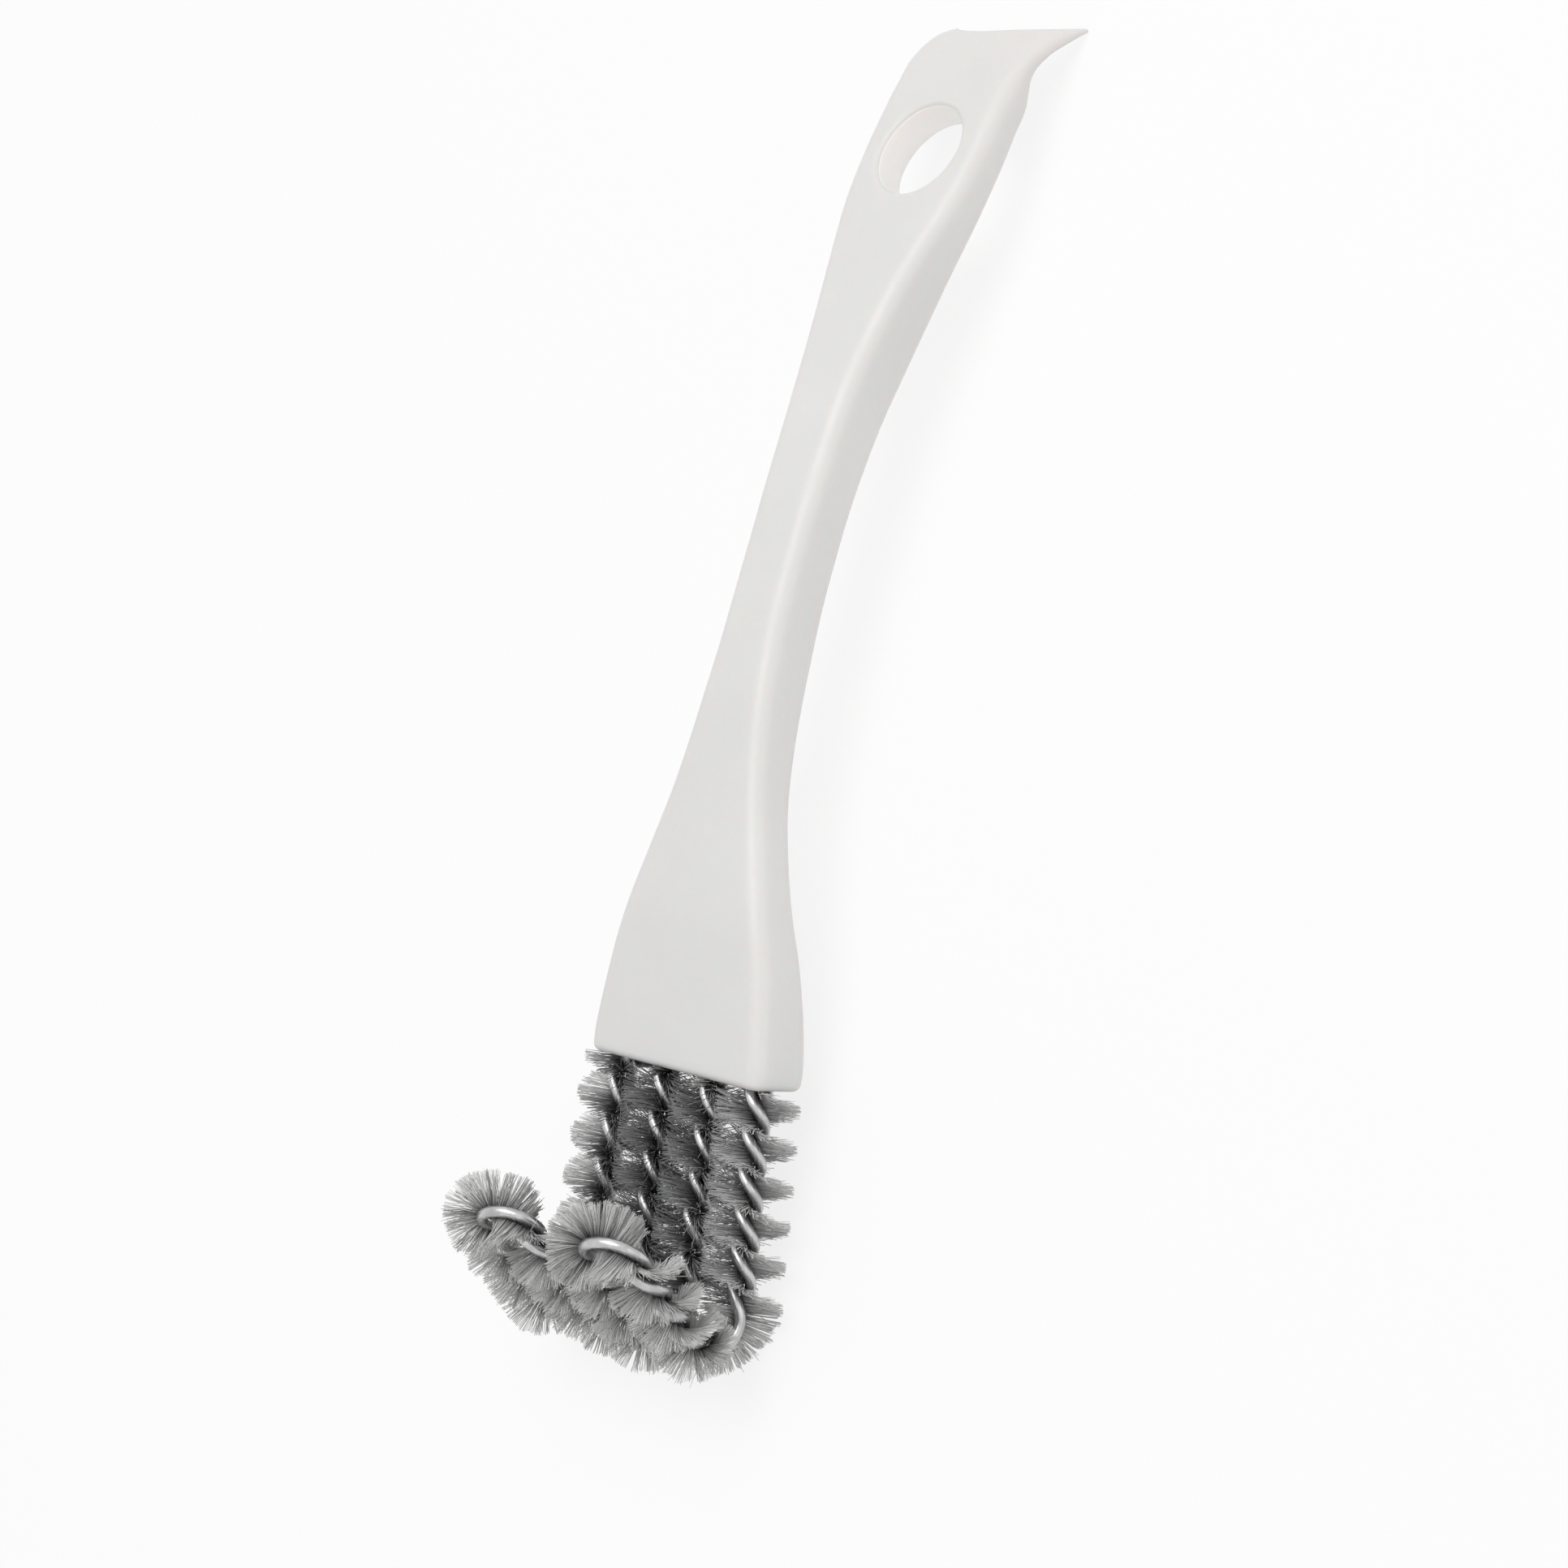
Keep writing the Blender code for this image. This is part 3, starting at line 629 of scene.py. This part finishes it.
def centre_line(loop):
    """Points of a loop's axis from the outer leg's buried end to the inner leg's."""
    rise = loop["toe_rise"]
    turn = math.pi / 2 + rise
    profile = [(0.0, z) for z in np.arange(STEM_DEPTH, -SHANK_LENGTH, -PATH_STEP)]
    for angle in np.arange(0, turn, PATH_STEP / HEEL_RADIUS):
        profile.append((-HEEL_RADIUS * (1 - math.cos(angle)),
                        -SHANK_LENGTH - HEEL_RADIUS * math.sin(angle)))
    heel_end = np.array((-HEEL_RADIUS * (1 - math.cos(turn)),
                         -SHANK_LENGTH - HEEL_RADIUS * math.sin(turn)))
    toe = np.array((-math.cos(rise), math.sin(rise)))
    for run in np.arange(0, loop["toe_length"], PATH_STEP):
        profile.append(tuple(heel_end + run * toe))
    toe_end = heel_end + loop["toe_length"] * toe
    middle = (OUTER_LEG_PLACE + INNER_LEG_PLACE) / 2
    bend = (OUTER_LEG_PLACE - INNER_LEG_PLACE) / 2
    points = [(leaned(z) if y == 0 else OUTER_LEG_PLACE, y, z) for y, z in profile]
    for angle in np.arange(0, math.pi, PATH_STEP / bend):
        y, z = toe_end + bend * math.sin(angle) * toe
        points.append((middle + bend * math.cos(angle), y, z))
    points += [(INNER_LEG_PLACE, y, z) for y, z in reversed(profile)]
    splay = math.tan(TOE_SPLAY)
    return np.array([(loop["side"] * (x + splay * max(0.0, -y - HEEL_RADIUS)), y, z)
                     for x, y, z in points])


def carried_normals(tangents):
    """A normal for each tangent of a line, carried along it with no turn about it."""
    normal = np.array((0.0, 1.0, 0.0))
    normals = []
    for tangent in tangents:
        normal = normalised(normal - tangent * np.dot(normal, tangent))
        normals.append(normal)
    return np.array(normals)


class Strand:
    """A loop's axis with its length, its frame and the turn of its wires."""

    def __init__(self, loop):
        self.side = loop["side"]
        self.points = centre_line(loop)
        steps = np.linalg.norm(np.diff(self.points, axis=0), axis=1)
        self.lengths = np.concatenate([[0.0], np.cumsum(steps)])
        self.tangents = normalised(np.gradient(self.points, self.lengths, axis=0))
        self.normals = carried_normals(self.tangents)
        self.bends = np.gradient(self.tangents, self.lengths, axis=0)
        heel = HEEL_RADIUS * (math.pi / 2 + loop["toe_rise"])
        self.total = self.lengths[-1]
        self.middle = self.total / 2
        self.toe_length = loop["toe_length"] / math.cos(TOE_SPLAY)
        self.heel_start = STEM_DEPTH + SHANK_LENGTH
        self.toe_start = self.heel_start + heel
        self.tip_start = self.toe_start + self.toe_length
        self.angles = self.turns(loop)

    def turns(self, loop):
        """Angle of the first wire about the axis: a left-hand twist, slower round the U and
        opened at the heels.  One pitch runs into the next over half the U's length."""
        tip_half = self.middle - self.tip_start
        rate = np.full(len(self.lengths), 1 / loop["tip_pitch"])
        rate[self.lengths < self.tip_start] = 1 / loop["outer_toe_pitch"]
        rate[self.lengths < self.heel_start] = 1 / loop["outer_pitch"]
        rate[self.lengths > self.total - self.tip_start] = 1 / loop["inner_toe_pitch"]
        rate[self.lengths > self.total - self.heel_start] = 1 / loop["inner_pitch"]
        window = int(tip_half / PATH_STEP) | 1
        padded = np.pad(rate, window // 2, mode="edge")
        rate = np.convolve(padded, np.ones(window) / window, mode="valid")
        for lengths in (self.lengths, self.total - self.lengths):
            run = lengths - self.heel_start + HEEL_OPENS_BEFORE
            share = np.clip(run / HEEL_OPENS_ALONG, 0, 1)
            rate -= HEEL_LOST_TURN / HEEL_OPENS_ALONG * (1 - np.cos(2 * math.pi * share))
        turned = np.concatenate([[0.0], np.cumsum((rate[1:] + rate[:-1]) / 2
                                                  * np.diff(self.lengths))])
        turned -= np.interp(self.middle, self.lengths, turned)
        return loop["tip_angle"] - 2 * math.pi * turned

    def interpolated(self, table, lengths):
        """Rows of one of the axis's tables, worked out for lengths along it."""
        return np.stack([np.interp(lengths, self.lengths, table[:, k]) for k in range(3)], axis=-1)

    def at(self, lengths):
        """Points, tangents, directions of the first wire and of the filaments."""
        points = self.interpolated(self.points, lengths)
        tangents = normalised(self.interpolated(self.tangents, lengths))
        normals = self.interpolated(self.normals, lengths)
        normals -= tangents * np.sum(normals * tangents, axis=-1, keepdims=True)
        normals = normalised(normals)
        angles = np.interp(lengths, self.lengths, self.angles)[..., None]
        wires = np.cos(angles) * normals + np.sin(angles) * np.cross(tangents, normals)
        return points, tangents, wires, np.cross(tangents, wires)


# Wires


def make_wire(name, strand, hand, material, node):
    """One unbroken wire as a smooth tube, with a map along its length for its streaks."""
    count = int(strand.total / WIRE_STEP)
    marks = np.linspace(0, strand.total, count)
    points, _, wires, _ = strand.at(marks)
    course = points + hand * WIRE_OFFSET * wires
    runs = normalised(np.gradient(course, axis=0))
    rings = []
    for centre, run, normal in zip(course, runs, carried_normals(runs)):
        side = np.cross(run, normal)
        for k in range(WIRE_SIDES):
            angle = 2 * math.pi * k / WIRE_SIDES
            rings.append(centre + WIRE_RADIUS * (math.cos(angle) * normal
                                                 + math.sin(angle) * side))
    faces = tube_faces(count, WIRE_SIDES)
    spots = []
    for low, high in zip(marks[:-1] / MM, marks[1:] / MM):
        for k in range(WIRE_SIDES):
            here, there = k / WIRE_SIDES, (k + 1) / WIRE_SIDES
            spots += [(low, here), (low, there), (high, there), (high, here)]
    for first, order in ((0, -1), ((count - 1) * WIRE_SIDES, 1)):
        faces.append(tuple(range(first, first + WIRE_SIDES))[::order])
        spots += [(0.0, 0.0)] * WIRE_SIDES
    piece = add_mesh(name, np.array(rings), faces, material, [node])
    layer = piece.data.uv_layers.new(name="along_wire")
    layer.data.foreach_set("uv", np.array(spots).ravel())
    piece.data.shade_smooth()


# Filaments


def reach_limits(strand, marks, directions):
    """How far filaments reach: less on the inside of a bend, where they would meet."""
    towards = np.sum(strand.interpolated(strand.bends, marks) * directions, axis=-1)
    return np.minimum(FILAMENT_REACH, BEND_SHARE / np.maximum(towards, SLIGHTEST_BEND))


def lay_filaments(start, end, habit, chance):
    """Root and tip marks, hand, layer, swing, lean, length share and tone of filaments."""
    clumps = int(round((end - start) / CLUMP_STEP))
    centres = start + (np.arange(clumps) + 0.5) * (end - start) / clumps
    centres = np.repeat(np.repeat(centres, 2), habit["count"])
    hands = np.repeat(np.tile((-1.0, 1.0), clumps), habit["count"])
    number = len(centres)

    def per_clump(values):
        return np.repeat(values, habit["count"])

    total = 2 * clumps
    offset = chance.uniform(-0.5, 0.5, number) * CLUMP_STEP
    stray = chance.random(number) < habit["strays"]
    swing = per_clump(chance.normal(0, habit["clump_swing"], total))
    swing += chance.normal(0, 1, number) * np.where(stray, STRAY_SWING, habit["swing"])
    lean = per_clump(chance.normal(0, habit["clump_lean"], total))
    lean += chance.normal(0, 1, number) * np.where(stray, STRAY_LEAN, habit["lean"])
    share = 1 - habit["uneven"] * (per_clump(chance.random(total) ** UNEVEN_POWER)
                                   + UNEVEN_ALONE * chance.random(number))
    tone = (per_clump(chance.normal(0, habit["clump_noise"], total))
            + chance.normal(0, habit["noise"], number))
    layer = chance.uniform(-1, 1, number) * FILAMENT_LAYER
    roots = np.clip(centres + offset, start, end)
    tips = np.clip(centres + offset * habit["draw"], start, end)
    return (roots, tips, hands[:, None], layer[:, None], swing[:, None], lean[:, None],
            share[:, None], tone)


def crowding(part, side, directions):
    """How much the filaments of a shank run into the next leg's, from 0 to 1."""
    across = directions[:, :1]
    if part == "inner_shank":
        across = np.abs(across)
    elif part == "outer_shank":
        across = -side * across
    else:
        across = np.zeros_like(across)
    return np.clip((across - CROWDED_FROM) / (CROWDED_FULLY - CROWDED_FROM), 0, 1)


def make_filaments(name, strand, part, start, end, material, node, chance):
    """A stretch of the filaments gripped between the wires, in small clumps."""
    habit = HABITS[part.split("_")[-1]]
    roots, tips, hands, layer, swing, lean, length, tone = lay_filaments(start, end, habit,
                                                                         chance)
    tip_points, _, _, tip_across = strand.at(tips)
    crowded = crowding(part, strand.side, hands * tip_across)
    swing = swing + crowded * chance.normal(0, CROWDED_SWING, crowded.shape)
    lean = lean + crowded * chance.normal(0, CROWDED_LEAN, crowded.shape)
    reach = reach_limits(strand, tips, hands * tip_across)[:, None] * length
    ends = tip_points + reach * hands * tip_across
    # Painted shade and light by where the filament's tip lies across the brush
    tone = tone + np.interp(ends[:, 0], PAINTED_LIGHT_PLACES, habit["painted_light_tones"])
    power = LEAN_POWER + crowded * (CROWDED_LEAN_POWER - LEAN_POWER)
    rings = []
    for share, radius in zip(FILAMENT_SHARES, FILAMENT_RADII):
        points, tangents, wires, across = strand.at(roots + (tips - roots) * share)
        out = np.cos(swing * share) * across * hands + np.sin(swing * share) * wires
        distance = FILAMENT_ROOT + (reach - FILAMENT_ROOT) * share
        centre = points + out * distance + wires * layer + tangents * lean * share ** power
        centre[:, 2] = np.minimum(centre[:, 2], -SOCKET_GAP)
        for k in range(FILAMENT_SIDES):
            angle = 2 * math.pi * k / FILAMENT_SIDES
            rings.append(centre + radius * (math.cos(angle) * tangents + math.sin(angle) * wires))
    count = len(rings)
    pattern = tube_faces(len(FILAMENT_SHARES), FILAMENT_SIDES)
    pattern += [range(FILAMENT_SIDES)[::-1], range(count)[-FILAMENT_SIDES:]]
    faces = [tuple(index * count + corner for corner in face)
             for index in range(len(roots)) for face in pattern]
    points = np.stack(rings, axis=1).reshape(-1, 3)
    piece = add_mesh(name, raised(points), faces, material, [node])
    # Painted shade at the roots and painted light at the tips
    along = np.repeat(np.array(PAINTED_ROOT_SHADE_TIP_LIGHT), FILAMENT_SIDES)
    values = np.clip(tone[:, None] + along[None, :], 0.0, 1.0)
    attribute = piece.data.attributes.new("tone", 'FLOAT', 'POINT')
    attribute.data.foreach_set("value", values.astype(np.float32).ravel())
    piece.data.shade_smooth()


def filament_stretches(strand):
    """Name, start and end of each stretch of filaments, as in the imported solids."""
    overlap = TIP_OVERLAP_SHARE * strand.toe_length
    tip = strand.tip_start - overlap
    stretches = []
    for part, start, end in (("shank", STEM_DEPTH + FIRST_FILAMENT, strand.heel_start),
                             ("heel", strand.heel_start, strand.toe_start),
                             ("toe", strand.toe_start, tip)):
        stretches.append((f"outer_{part}", start, end))
        stretches.append((f"inner_{part}", strand.total - end, strand.total - start))
    stretches.append(("tip", tip, strand.total - tip))
    return stretches


# Studio


def seen_ray(nodes, links):
    """One where the camera, a gloss or a glass looks at a surface, and zero for light."""
    path = nodes.new("ShaderNodeLightPath")
    total = path.outputs["Is Camera Ray"]
    for kind in ("Is Glossy Ray", "Is Transmission Ray"):
        add = nodes.new("ShaderNodeMath")
        add.operation = 'ADD'
        add.use_clamp = True
        links.new(total, add.inputs[0])
        links.new(path.outputs[kind], add.inputs[1])
        total = add.outputs["Value"]
    return total


def make_floor():
    """A pale floor that is seen partly as plain white and partly with its shadow."""
    material, nodes, links, shader = new_material("pale_floor")
    shader.inputs["Base Color"].default_value = (FLOOR_GREY, FLOOR_GREY, FLOOR_GREY, 1.0)
    shader.inputs["Roughness"].default_value = FLOOR_ROUGHNESS
    white = nodes.new("ShaderNodeEmission")
    share = nodes.new("ShaderNodeMath")
    share.operation = 'MULTIPLY'
    share.inputs[1].default_value = FLOOR_WHITE_SHARE
    links.new(seen_ray(nodes, links), share.inputs[0])
    mix = nodes.new("ShaderNodeMixShader")
    links.new(share.outputs["Value"], mix.inputs["Fac"])
    links.new(shader.outputs["BSDF"], mix.inputs[1])
    links.new(white.outputs["Emission"], mix.inputs[2])
    links.new(mix.outputs["Shader"], nodes["Material Output"].inputs["Surface"])
    mesh = bpy.data.meshes.new("floor")
    corners = [(x * FLOOR_HALF, y * FLOOR_HALF, 0.0)
               for x, y in ((-1, -1), (1, -1), (1, 1), (-1, 1))]
    mesh.from_pydata(corners, [], [(0, 1, 2, 3)])
    mesh.materials.append(material)
    new_object("floor", mesh)


def make_world():
    """Even light from all round, seen as plain white."""
    world = bpy.data.worlds.new("studio")
    bpy.context.scene.world = world
    world.use_nodes = True
    nodes = world.node_tree.nodes
    links = world.node_tree.links
    light = nodes["Background"]
    light.inputs["Color"].default_value = (1.0, 1.0, 1.0, 1.0)
    light.inputs["Strength"].default_value = WORLD_LIGHT
    white = nodes.new("ShaderNodeBackground")
    white.inputs["Color"].default_value = (1.0, 1.0, 1.0, 1.0)
    white.inputs["Strength"].default_value = 1.0
    mix = nodes.new("ShaderNodeMixShader")
    links.new(seen_ray(nodes, links), mix.inputs["Fac"])
    links.new(light.outputs["Background"], mix.inputs[1])
    links.new(white.outputs["Background"], mix.inputs[2])
    links.new(mix.outputs["Shader"], nodes["World Output"].inputs["Surface"])


def camera_matrix():
    """The photograph's camera, from its place about the upright brush."""
    a, e, r = CAMERA_AZIMUTH, CAMERA_ELEVATION, CAMERA_ROLL
    back = np.array((math.sin(a) * math.cos(e), -math.cos(a) * math.cos(e), math.sin(e)))
    level = np.array((math.cos(a), math.sin(a), 0.0))
    upright = np.cross(back, level)
    right = math.cos(r) * level + math.sin(r) * upright
    up = -math.sin(r) * level + math.cos(r) * upright
    distance = FOCAL_PIXELS / PIXELS_PER_MM * MM
    across = (AIM_PIXEL[0] - PHOTO_PIXELS / 2) / FOCAL_PIXELS * distance
    rise = (PHOTO_PIXELS / 2 - AIM_PIXEL[1]) / FOCAL_PIXELS * distance
    place = np.array(AIM_POINT) + back * distance - right * across - up * rise
    return PLACE @ frame_matrix(right, up, back, place)


def make_camera():
    """The camera with the photograph's lens and place."""
    camera = bpy.data.cameras.new("photo_camera")
    camera.sensor_fit = 'HORIZONTAL'
    camera.sensor_width = SENSOR_WIDTH
    camera.lens = SENSOR_WIDTH * FOCAL_PIXELS / PHOTO_PIXELS
    camera.clip_start = CLIP_START
    item = new_object("photo_camera", camera)
    item.matrix_world = camera_matrix()
    bpy.context.scene.camera = item
    return item


def add_lamp(name, direction, distance, size, watts):
    """A soft square lamp that looks at the middle of the brush from a direction."""
    lamp = bpy.data.lights.new(name, 'AREA')
    lamp.shape = 'SQUARE'
    lamp.size = size
    lamp.energy = watts
    item = new_object(name, lamp)
    direction = direction.normalized()
    item.location = Vector(LAMP_TARGET) + distance * direction
    item.rotation_euler = direction.to_track_quat('Z', 'Y').to_euler()


def main():
    camera = make_camera()
    make_world()
    make_floor()
    turn = camera.matrix_world.to_3x3()
    for name, (direction, distance, size, watts) in LAMPS.items():
        add_lamp(name, turn @ Vector(direction), distance, size, watts)

    plastic = plastic_material()
    steel = steel_material()
    grey = filament_material()
    make_handle(plastic)
    chance = np.random.default_rng(SEED)
    for name, loop in LOOPS.items():
        strand = Strand(loop)
        for wire_name, hand in (("first", 1), ("second", -1)):
            make_wire(f"{name}_{wire_name}_twisted_wire", strand, hand, steel,
                      f"{name}_loop_{wire_name}_wire")
        for part, start, end in filament_stretches(strand):
            make_filaments(f"{name}_{part}_filaments", strand, part, start, end, grey,
                           f"{name}_{part}_bristles", chance)

    bpy.context.scene.view_settings.view_transform = 'Standard'


main()
